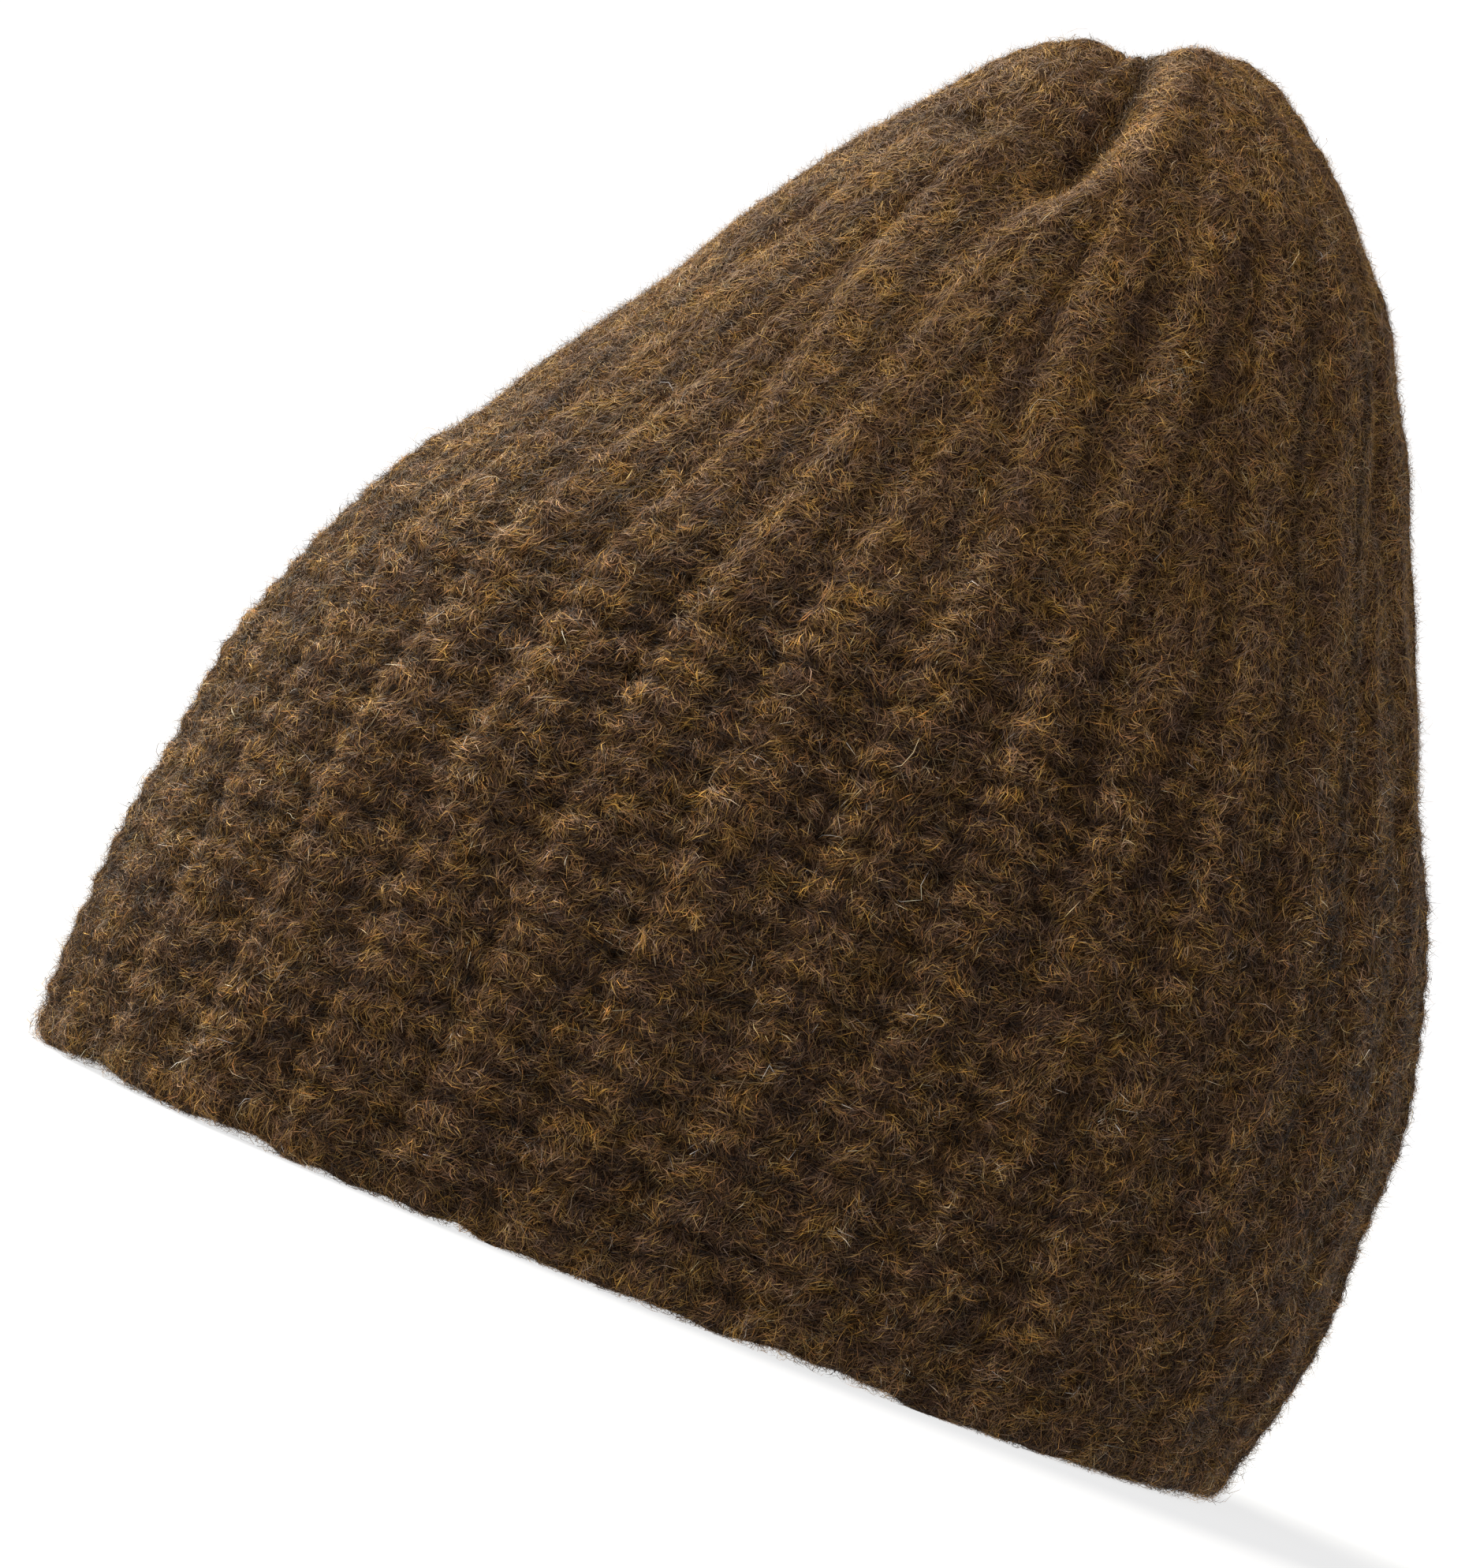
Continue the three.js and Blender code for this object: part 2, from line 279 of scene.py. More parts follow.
@dataclass(frozen=True)
class CapForm:
    """The form of the knitted wall: oval levels, groups of ribs whose middle one is decreased, and folds."""

    sections: tuple[Section, ...] = SECTIONS
    folds: tuple[Fold, ...] = FOLDS
    crease_shade_lines: tuple[Fold, ...] = CREASE_SHADE_LINES
    groups: int = 10
    ribs_in_group: int = 3
    group_start: float = float(np.radians(-27.9))  # turn where the first group starts
    rib_depth: float = 2.6
    # height across a rib at even steps, from its opening groove
    rib_profile: tuple[float, ...] = (0.0, 1.0, 0.92, 0.38)
    decreased: Pair = (120.0, 190.0)  # heights over which the middle ribs are decreased away
    brim_relief: float = 0.35  # share of the rib depth at the brim
    brim_fade: float = 16.0  # height where it is full
    crown_relief: float = 0.28  # share of the rib depth left in the gathers
    crown_width: float = 64.0  # half-width where it is full
    pucker_width: float = 6.0  # half-width below which the ribs die out
    inner_relief: float = 0.3  # share of the ribs that shows inside
    full_fold: float = 7.0  # depth of a fold that leaves no ribs
    fold_width: float = 9.0  # half-width below which the folds die out
    slope_step: float = 0.05  # stations on either side between which the wall's slope is taken
    fine_stations: int = 1601  # stations that the wall's length is measured over
    least_rib: float = 1e-6  # width that stands for none, as a share of a group
    least_radius: float = 1.0  # half-width that is used nearer the pole

    @property
    def last_station(self) -> int:
        """Station of the pole, where the wall closes."""
        return len(self.sections) - 1

    def row(self, station: Array) -> Section:
        """All section values at real-valued stations, by a spline through the sections."""
        table = np.array([astuple(section) for section in self.sections], float)
        return Section(*(spline(column, station) for column in table.T))

    def even_stations(self, rows: int) -> tuple[Array, Array]:
        """Stations that lie evenly along the wall from the brim to just short of the pole.

        The wall's length is the running sum of the steps in half-width and height between fine stations.

        Args:
            rows: Number of rows wanted.

        Returns:
            The stations, and the distance along the wall of each.
        """
        fine = np.linspace(0.0, self.last_station, self.fine_stations)
        level = self.row(fine)
        length = np.concatenate([[0.0], np.cumsum(np.hypot(np.diff(level.half_width), np.diff(level.z)))])
        along = np.linspace(0.0, length[-1], rows + 1)[:-1]
        return np.interp(along, length, fine), along

    def ribs_at(self, turn: Array, z: Array) -> RibPlace:
        """Finds each point's rib: a group's middle rib narrows to nothing between the decrease heights.

        Args:
            turn: Place around the wall, evenly spaced along it, in radians.
            z: Height.

        Returns:
            The place among the ribs.
        """
        gone = smooth(z, *self.decreased)
        in_group = np.mod((turn - self.group_start) / FULL_TURN * self.groups, 1.0)
        middle = (1.0 - gone) / self.ribs_in_group
        side = (1.0 - middle) / 2.0
        first, last = in_group < side, in_group >= side + middle
        start = np.where(first, 0.0, np.where(last, side + middle, side))
        width = np.where(first | last, side, middle)
        return RibPlace(
            across=(in_group - start) / np.maximum(width, self.least_rib),
            share=width / self.groups,
            height=np.where(first | last, 1.0, 1.0 - gone),
        )

    def rib_relief(self, ribs: RibPlace, z: Array, half_width: Array) -> Array:
        """Depth of the ribbing below its crests.

        It is the rib depth, faded at the brim, in the gathers and in the pucker, times 1 less the rib's
        profile, a closed spline through rib_profile.

        Args:
            ribs: Place among the ribs.
            z: Height.
            half_width: Half-width of the wall there.

        Returns:
            The depth.
        """
        brim = lerp(self.brim_relief, 1.0, smooth(z, 0.0, self.brim_fade))
        crown = lerp(self.crown_relief, 1.0, smooth(half_width, 0.0, self.crown_width))
        pucker = smooth(half_width, 0.0, self.pucker_width)
        profile = spline(np.array(self.rib_profile), ribs.across * len(self.rib_profile), closed=True)
        return self.rib_depth * brim * crown * pucker * (1.0 - ribs.height * profile)

    def outward(self, angle: Array, station: Array) -> Array:
        """Direction square to the smooth wall: square to its oval, tilted by the slope around the station.

        Args:
            angle: Azimuth in radians.
            station: Real-valued section numbers.

        Returns:
            Unit vectors.
        """
        before, after, here = (self.row(station + step) for step in (-self.slope_step, self.slope_step, 0.0))
        slope = np.arctan2(before.half_width - after.half_width, after.z - before.z)
        level = unit(together(np.sin(angle) * here.half_depth, -np.cos(angle) * here.half_width, 0.0))
        tilt = np.broadcast_to(slope, level.shape[:-1])[..., None]
        return np.concatenate([level[..., :2] * np.cos(tilt), np.sin(tilt)], axis=-1)

    def skin(
        self, turn: Array, station: Array, inner: bool = False, wobble: Number = 0.0
    ) -> tuple[Array, Array, Array]:
        """Points of the outer or the inner skin.

        A level is an oval around its centre. Its angle is the turn less half its flattening times the sine of
        twice the turn, which spaces points evenly. Ribs and folds move them along the outward direction.

        Args:
            turn: Place around the wall in radians.
            station: Real-valued section numbers.
            inner: Whether the inner skin is wanted.
            wobble: Small turn that the ribs are shifted by.

        Returns:
            The points, their outward directions and the painted crease shade there, which is painted light
            where negative.
        """
        level = self.row(station)
        half_width, half_depth = level.half_width, level.half_depth
        side, drop = (level.side, level.drop) if inner else (0.0, 0.0)
        flattening = (half_width - half_depth) / np.maximum(half_width + half_depth, self.least_radius)
        angle = turn - 0.5 * flattening * np.sin(2.0 * turn)
        z = level.z + level.rise * np.sin(angle)
        radius = np.maximum(half_width, self.least_radius)
        folds = sum(fold.depth(angle, z, radius) for fold in self.folds)
        # painted shade along the creases, and painted light where a line's depth is negative
        crease_shade_and_light = sum(crease.depth(angle, z, radius) for crease in self.crease_shade_lines)
        squeeze = smooth(1.0 - np.abs(folds) / self.full_fold)
        relief = self.rib_relief(self.ribs_at(turn + wobble, z), z, half_width) * squeeze
        inwards = relief * (self.inner_relief if inner else 1.0)
        inwards = inwards + folds * smooth(half_width, 0.0, self.fold_width)
        points = together(
            level.lean_x + np.maximum(half_width - side, 0.0) * np.sin(angle),
            -np.maximum(half_depth - side, 0.0) * np.cos(angle),
            z - drop,
        )
        out = self.outward(angle, station)
        return points - out * inwards[..., None], out, crease_shade_and_light


@dataclass(frozen=True)
class StitchColumn:
    """One column of bumps within a rib: a leg of plain stitches, or a row end of purl stitches."""

    centre: float  # place across the rib, as a share of its width
    half: float  # half-width of the column
    shift: float  # start of its rows, as a share of a row
    slant: float  # rows that a bump climbs for each millimetre to the right
    height: float  # how far the bumps stand proud
    lay: float  # direction of its yarn from the upright, in radians
    open: float  # painted light and shade across the rib: how much brighter this column is than the rest, darker where negative


@dataclass(frozen=True)
class Stitches:
    """The knitting on a rib: plain stitches beside the groove, dimmer ones, and purl bumps in the trough."""

    row_height: float = 5.95
    columns: tuple[StitchColumn, ...] = (
        StitchColumn(0.02, 1.35, 0.2, 0.03, 0.7, 0.5, -0.048),
        StitchColumn(0.17, 1.4, 0.05, -0.03, 1.0, -0.35, 0.208),
        StitchColumn(0.31, 1.3, -0.05, -0.02, 0.65, 0.6, 0.0),
        StitchColumn(0.45, 1.4, 0.05, 0.03, 0.8, -0.6, 0.144),
        StitchColumn(0.64, 1.35, 0.2, 0.02, 0.75, 1.2, -0.064),
        StitchColumn(0.84, 1.4, -0.02, -0.03, 0.75, -1.3, -0.032),
    )
    sharpness: float = 0.9  # power that narrows a bump along its column
    sunk: float = 0.3  # share of a bump's height that lies under the rib's surface
    swelling: RandomField = RandomField(7.0, 11, 20, 0.18)  # unevenness of the bumps
    # slow and quick wandering of the rows, in rows
    drifts: tuple[RandomField, ...] = (RandomField(36.0, 12, 12, 0.10), RandomField(11.0, 14, 16, 0.04))
    lumps: RandomField = RandomField(8.0, 13, 20, 0.08)
    hole_place: float = 0.985
    hole_half: float = 1.1
    hole_depth: float = 0.45
    trough_place: float = 0.92  # across the rib, like the other places
    filling: Pair = (1.5, 1.65)  # height of the trough's filling, in the lower and the upper part
    crown_filling: float = 1.4  # the same in the felted crown
    filled_from: float = 20.0  # height over which it grows from the brim
    upper: Pair = (70.0, 125.0)  # heights between which the lower part turns into the upper
    groove_place: float = 0.72  # of the painted shade line in the groove
    groove_half: Pair = (2.3, 1.15)  # its half-width, in the lower and the upper part
    groove_shade: Pair = (0.2, 0.62)  # share of the stitch shade value lost there as painted shade, in the lower and the upper part
    groove_lost: float = 0.8  # share of that painted shade lost in the felted crown
    fade: Pair = (92.0, 136.0)  # heights between which the stitches fade
    crown_share: float = 0.22  # share of the relief left above
    felted: Pair = (172.0, 200.0)  # heights between which troughs fill up and the painted groove shade fades
    edge_share: float = 0.6  # share of the relief at the cast-on edge
    edge_to: float = 14.0  # height where it is full
    worn: Pair = (15.0, 90.0)  # sideways places between which the stitches get flatter
    worn_share: float = 0.55  # share of the relief left at the right
    stitch_shade: Pair = (0.45, 0.82)  # painted shade value at no relief, and its growth for each millimetre: darker in hollows, brighter on bumps
    felt_stitch_shade: float = 0.6  # painted shade value where the stitches are gone
    least_weight: float = 0.2  # weight of the columns under which the yarn turns upright

    def relief(
        self, ribs: RibPlace, girth: Array, along: Array, z: Array, points: Array
    ) -> tuple[Array, Array, Array]:
        """Height of the stitches above the rib, the painted shade value there, and the direction of its yarn.

        Each column adds its height times a raised cosine of the row and a bell curve across the column. Holes
        sit in the groove between rows. All of it fades towards the crown, the cast-on edge and the right.

        Args:
            ribs: Place among the ribs.
            girth: Length of the wall around the cap at that height.
            along: Distance along the wall from the brim.
            z: Height.
            points: Points of the smooth wall, for the unevenness of hand-made rows.

        Returns:
            The relief, the painted shade value from 0, darkest, in holes to 1, brightest, on crests, and the
            yarn's angle.
        """
        width = ribs.share * girth
        rows = along / self.row_height + sum(drift.at(points) for drift in self.drifts)
        relief, weight, yarn, column_shade = (np.zeros(points.shape[:-1]) for _ in range(4))
        for column in self.columns:
            x = ribs.beside(column.centre, width)
            spot = bell(x / column.half)
            lobe = crest(rows + column.shift + column.slant * x) ** self.sharpness
            relief += column.height * (lobe - self.sunk) * spot
            weight += spot
            yarn += spot * column.lay
            column_shade += spot * column.open
        between = (1.0 - crest(rows + self.columns[-1].shift)) ** 2
        hole = between * bell(ribs.beside(self.hole_place, width) / self.hole_half)
        relief = relief * (1.0 + self.swelling.at(points)) - self.hole_depth * hole + self.lumps.at(points)
        # painted shade: darker in hollows and holes, brighter on bumps and on the brighter columns
        closed, growth = self.stitch_shade
        stitch_shade = np.clip(closed + growth * relief + column_shade, 0.0, 1.0)
        share = lerp(1.0, self.crown_share, smooth(z, *self.fade)) * ribs.height
        share = share * lerp(self.edge_share, 1.0, smooth(z, 0.0, self.edge_to))
        share = share * lerp(1.0, self.worn_share, smooth(points[..., 0], *self.worn))
        upper, crown = smooth(z, *self.upper), smooth(z, *self.felted)
        filling = lerp(lerp(*self.filling, upper), self.crown_filling, crown)
        filling = filling * crest(ribs.across - self.trough_place) * smooth(z, 0.0, self.filled_from)
        # painted shade along a line in each groove, fading in the felted crown
        groove = bell(ribs.beside(self.groove_place, width) / lerp(*self.groove_half, upper))
        groove = groove * lerp(*self.groove_shade, upper) * (1.0 - self.groove_lost * crown) * ribs.height
        stitch_shade = lerp(self.felt_stitch_shade, stitch_shade, share) * (1.0 - groove)
        return relief * share + filling * ribs.height, stitch_shade, yarn / np.maximum(weight, self.least_weight)


@dataclass
class Skin:
    """A grid of the dressed outer skin, rows up the wall by columns around it."""

    points: Array
    stitch_shade: Array  # painted shade value, 0 and darkest in holes, 1 and brightest on crests
    yarn: Array  # direction of the yarn from the upright, in radians
    normals: Array = field(init=False)  # outward directions of the dressed surface
    up_span: Array = field(init=False)  # distance from row to row
    side_span: Array = field(init=False)  # distance from column to column
    least_spans: Pair = (0.2, 0.1)  # least of those two, for use near the pole

    def __post_init__(self) -> None:
        """Works out directions and distances: up by row differences, around by column differences."""
        around = (np.roll(self.points, -1, axis=1) - np.roll(self.points, 1, axis=1)) / 2.0
        upward = np.gradient(self.points, axis=0)
        least_up, least_side = self.least_spans
        self.normals = unit(np.cross(around, upward))
        self.up_span = np.maximum(np.linalg.norm(upward, axis=-1), least_up)
        self.side_span = np.maximum(np.linalg.norm(around, axis=-1), least_side)

    def scatter(self, count: int, part: float, rng: Generator) -> tuple[Array, Array]:
        """Picks random places, as many on each patch of the grid as its area asks for.

        Args:
            count: Number of places.
            part: Share of the rows, from the cast-on edge up, that they may lie in.
            rng: Source of the random numbers.

        Returns:
            Real-valued row and column of each place.
        """
        area = (self.up_span * self.side_span)[: int(part * (len(self.points) - 1))]
        total = np.cumsum(area.ravel())
        cell = np.minimum(np.searchsorted(total, rng.uniform(0.0, total[-1], count)), total.size - 1)
        row, column = np.divmod(cell, area.shape[1])
        return row + rng.uniform(size=count), column + rng.uniform(size=count)

    def at(self, row: Array, column: Array) -> dict[str, Array]:
        """Values at real-valued places of the grid, blended between the four corners around each.

        Args:
            row: Rows.
            column: Columns, which run on around the cap.

        Returns:
            For each field of the grid, its values there.
        """
        low = np.clip(np.floor(row).astype(int), 0, len(self.points) - 2)
        left = np.floor(column).astype(int)
        s, t = column - left, np.clip(row - low, 0.0, 1.0)
        left, right = np.mod(left, self.points.shape[1]), np.mod(left + 1, self.points.shape[1])
        found = {}
        for name in ("points", "normals", "stitch_shade", "yarn", "up_span", "side_span"):
            grid = getattr(self, name)
            u, v = (s[:, None], t[:, None]) if grid.ndim == 3 else (s, t)
            under, over = (lerp(grid[level, left], grid[level, right], u) for level in (low, low + 1))
            found[name] = lerp(under, over, v)
        return found


def add_object(name: str, data: ID) -> Object:
    """Adds an object to the scene.

    Args:
        name: Its name.
        data: Its mesh, light or camera.

    Returns:
        The object.
    """
    made = bpy.data.objects.new(name, data)
    bpy.context.scene.collection.objects.link(made)
    return made


def add_mesh(name: str, points: Array, faces: Faces, values: dict[str, Array]) -> Object:
    """Makes a smooth-shaded mesh piece from whole arrays.

    Args:
        name: Name of the piece.
        points: Positions in millimetres.
        faces: Triangles, three point numbers each.
        values: Named values for each point, kept as attributes.

    Returns:
        The new object, linked to the scene.
    """
    mesh = bpy.data.meshes.new(name)
    mesh.vertices.add(len(points))
    mesh.vertices.foreach_set("co", (points * MM).astype(np.float32).ravel())
    mesh.loops.add(faces.size)
    mesh.loops.foreach_set("vertex_index", faces.astype(np.int32).ravel())
    mesh.polygons.add(len(faces))
    mesh.polygons.foreach_set("loop_start", np.arange(0, faces.size, 3, dtype=np.int32))
    mesh.polygons.foreach_set("use_smooth", np.ones(len(faces), bool))
    mesh.update(calc_edges=True)
    for key, amounts in values.items():
        layer = mesh.attributes.new(key, "FLOAT", "POINT")
        layer.data.foreach_set("value", amounts.astype(np.float32).ravel())
    return add_object(name, mesh)


@dataclass(frozen=True)
class Graph:
    """A shader node tree, with short ways to add to it."""

    tree: NodeTree

    def fill(self, node: Node, inputs: Inputs) -> None:
        """Sets inputs of a node, or links them where the source is another node's output.

        Args:
            node: The node.
            inputs: Sources by the name or the number of the input.
        """
        for key, source in inputs.items():
            if isinstance(source, NodeSocket):
                self.tree.links.new(source, node.inputs[key])
            else:
                node.inputs[key].default_value = source

    def add(self, kind: str, inputs: Inputs | None = None, **settings: object) -> Node:
        """Adds a node.

        Args:
            kind: Its type, without the word ShaderNode.
            inputs: Sources by the name or the number of the input.
            settings: Its other properties.

        Returns:
            The node.
        """
        node = self.tree.nodes.new("ShaderNode" + kind)
        for key, value in settings.items():
            setattr(node, key, value)
        self.fill(node, inputs or {})
        return node

    def work_out(self, operation: str, first: NodeSocket, second: float = 0.0) -> NodeSocket:
        """Output of a Math node on a socket and a number."""
        return self.add("Math", {0: first, 1: second}, operation=operation).outputs["Value"]

    def tinted(self, colour: NodeSocket, factor: NodeSocket) -> NodeSocket:
        """Colour times a colour or a value, through a Mix node."""
        inputs = {"Factor": 1.0, "A": colour, "B": factor}
        return self.add("Mix", inputs, data_type="RGBA", blend_type="MULTIPLY").outputs["Result"]

    def ramp(self, source: NodeSocket, stops: tuple[tuple[float, Colour], ...]) -> NodeSocket:
        """Colour ramp over a value.

        Args:
            source: The value, 0 to 1.
            stops: Place and linear colour of each of its stops, in order.

        Returns:
            Its colour.
        """
        node = self.add("ValToRGB", {"Fac": source})
        elements = node.color_ramp.elements
        elements[0].position, elements[0].color = stops[0]
        elements[1].position, elements[1].color = stops[-1]
        for place, colour in stops[1:-1]:
            elements.new(place).color = colour
        return node.outputs["Color"]


def new_material(name: str, inputs: Inputs) -> tuple[Material, Graph, Node]:
    """Makes a material.

    Args:
        name: Its name.
        inputs: Values for some of the shader's inputs.

    Returns:
        The material, its nodes and its Principled shader.
    """
    made = bpy.data.materials.new(name)
    made.use_nodes = True
    graph, shader = Graph(made.node_tree), made.node_tree.nodes["Principled BSDF"]
    graph.fill(shader, inputs)
    return made, graph, shader


def linear(red: float, green: float, blue: float) -> Colour:
    """Turns a display colour into the linear colour that shader sockets take.

    Args:
        red: Display value, 0 to 1, as green and blue are.
        green: Display value.
        blue: Display value.

    Returns:
        The colour.
    """
    shown = np.array([red, green, blue])
    lit = np.where(shown <= 0.04045, shown / 12.92, ((shown + 0.055) / 1.055) ** 2.4)
    return (*(float(c) for c in lit), 1.0)


# colours of the fibres in the melange, by their tint
DYES = (
    (0.00, linear(0.12, 0.082, 0.052)),
    (0.16, linear(0.25, 0.165, 0.105)),
    (0.28, linear(0.33, 0.255, 0.195)),
    (0.38, linear(0.43, 0.30, 0.175)),
    (0.47, linear(0.46, 0.368, 0.27)),
    (0.56, linear(0.60, 0.475, 0.24)),
    (0.66, linear(0.56, 0.38, 0.20)),
    (0.76, linear(0.54, 0.465, 0.39)),
    (0.88, linear(0.74, 0.66, 0.48)),
    (1.00, linear(0.82, 0.81, 0.78)),
)

# factors of the uneven dyeing, by the noise that spreads them
PATCHES = (
    (0.34, (0.90, 0.89, 1.04, 1.0)),
    (0.50, (1.00, 0.97, 0.97, 1.0)),
    (0.66, (1.12, 1.05, 0.74, 1.0)),
)
PATCH_NOISE = {"Scale": 210.0, "Detail": 3.0}

# noise that has its middle value along the tangled fibres, and how far from it their sides are
TANGLE_NOISE = {"Scale": 1100.0, "Detail": 2.0, "Distortion": 1.4}
TANGLE_SIDE = 0.10


@dataclass(frozen=True)
class WoolGroups:
    """Shader node groups that the wall and its fibres share."""

    palette: NodeTree
    patches: NodeTree

    @staticmethod
    def make_palette() -> NodeTree:
        """Group that turns a tint, 0 to 1, into the colour of one kind of fibre in the melange.

        Returns:
            The group.
        """
        tree = bpy.data.node_groups.new("wool_palette", "ShaderNodeTree")
        tree.interface.new_socket("Tint", in_out="INPUT", socket_type="NodeSocketFloat")
        tree.interface.new_socket("Colour", in_out="OUTPUT", socket_type="NodeSocketColor")
        graph = Graph(tree)
        tint = tree.nodes.new("NodeGroupInput").outputs["Tint"]
        graph.fill(tree.nodes.new("NodeGroupOutput"), {"Colour": graph.ramp(tint, DYES)})
        return tree

    @staticmethod
    def make_patches() -> NodeTree:
        """Group of the melange's uneven dyeing: a colour to multiply by, and a mask of tangled fibres.

        The mask is 1 along the lines where a twisted noise has its middle value, and falls to 0 beside them.

        Returns:
            The group.
        """
        tree = bpy.data.node_groups.new("wool_patches", "ShaderNodeTree")
        tree.interface.new_socket("Colour", in_out="OUTPUT", socket_type="NodeSocketColor")
        tree.interface.new_socket("Fibres", in_out="OUTPUT", socket_type="NodeSocketFloat")
        graph = Graph(tree)
        place = graph.add("TexCoord").outputs["Object"]
        tone = graph.add("TexNoise", {"Vector": place} | PATCH_NOISE)
        tangle = graph.add("TexNoise", {"Vector": place} | TANGLE_NOISE)
        away = graph.work_out("ABSOLUTE", graph.work_out("SUBTRACT", tangle.outputs["Fac"], 0.5))
        lines = graph.add("MapRange", {"Value": away, "From Min": TANGLE_SIDE, "From Max": 0.0})
        colour = graph.ramp(tone.outputs["Fac"], PATCHES)
        graph.fill(tree.nodes.new("NodeGroupOutput"), {"Colour": colour, "Fibres": lines.outputs["Result"]})
        return tree

    def dyed(self, graph: Graph, patches: Node, tint: NodeSocket, shade: NodeSocket) -> NodeSocket:
        """Colour of the melange at a tint, times the uneven dyeing and a shade.

        Args:
            graph: Nodes of the material.
            patches: Its node of the patches group.
            tint: Place in the palette.
            shade: Brightness.

        Returns:
            The colour.
        """
        palette = graph.add("Group", {"Tint": tint}, node_tree=self.palette)
        return graph.tinted(graph.tinted(palette.outputs["Colour"], patches.outputs["Colour"]), shade)


@dataclass(frozen=True)
class FeltedWool:
    """Finish of the knitted wall under its nap: matt felted yarn, with painted shade between the stitches."""

    roughness: float = 0.9
    gloss: float = 0.02  # specular level
    bump: float = 0.6  # strength of the tangled fibres' bump
    bump_height: float = 0.25
    tint: Pair = (0.1, 0.42)  # place in the palette beside those fibres, and how much further they are
    shade: Pair = (0.045, 0.495)  # painted shade: brightness where the stitch shade value is 0, and its growth to where it is 1

    def material(self, groups: WoolGroups) -> Material:
        """Builds the material.

        Args:
            groups: The shared node groups.

        Returns:
            The finished material.
        """
        look = {"Roughness": self.roughness, "Specular IOR Level": self.gloss}
        made, graph, shader = new_material("felted_wool", look)
        patches = graph.add("Group", node_tree=groups.patches)
        fibres = patches.outputs["Fibres"]
        # painted shade between the stitches, from the stitch shade value
        stitch_shade = graph.add("Attribute", attribute_name="stitch_shade").outputs["Fac"]
        tint, shade = (
            graph.work_out("ADD", graph.work_out("MULTIPLY", mask, growth), base)
            for mask, (base, growth) in ((fibres, self.tint), (stitch_shade, self.shade))
        )
        relief = {"Strength": self.bump, "Distance": self.bump_height * MM, "Height": fibres}
        normal = graph.add("Bump", relief).outputs["Normal"]
        graph.fill(shader, {"Base Color": groups.dyed(graph, patches, tint, shade), "Normal": normal})
        return made


@dataclass(frozen=True)
class LooseFibre:
    """Finish of the loose fibres: each has its own tint, and painted shade at its root and in the holes."""

    roughness: float = 0.55
    gloss: float = 0.12

    def material(self, groups: WoolGroups) -> Material:
        """Builds the material.

        Args:
            groups: The shared node groups.

        Returns:
            The finished material.
        """
        look = {"Roughness": self.roughness, "Specular IOR Level": self.gloss}
        made, graph, shader = new_material("loose_fibre", look)
        patches = graph.add("Group", node_tree=groups.patches)
        tint, shade = (graph.add("Attribute", attribute_name=name) for name in ("tint", "shade"))
        colour = groups.dyed(graph, patches, tint.outputs["Fac"], shade.outputs["Fac"])
        graph.fill(shader, {"Base Color": colour})
        return made


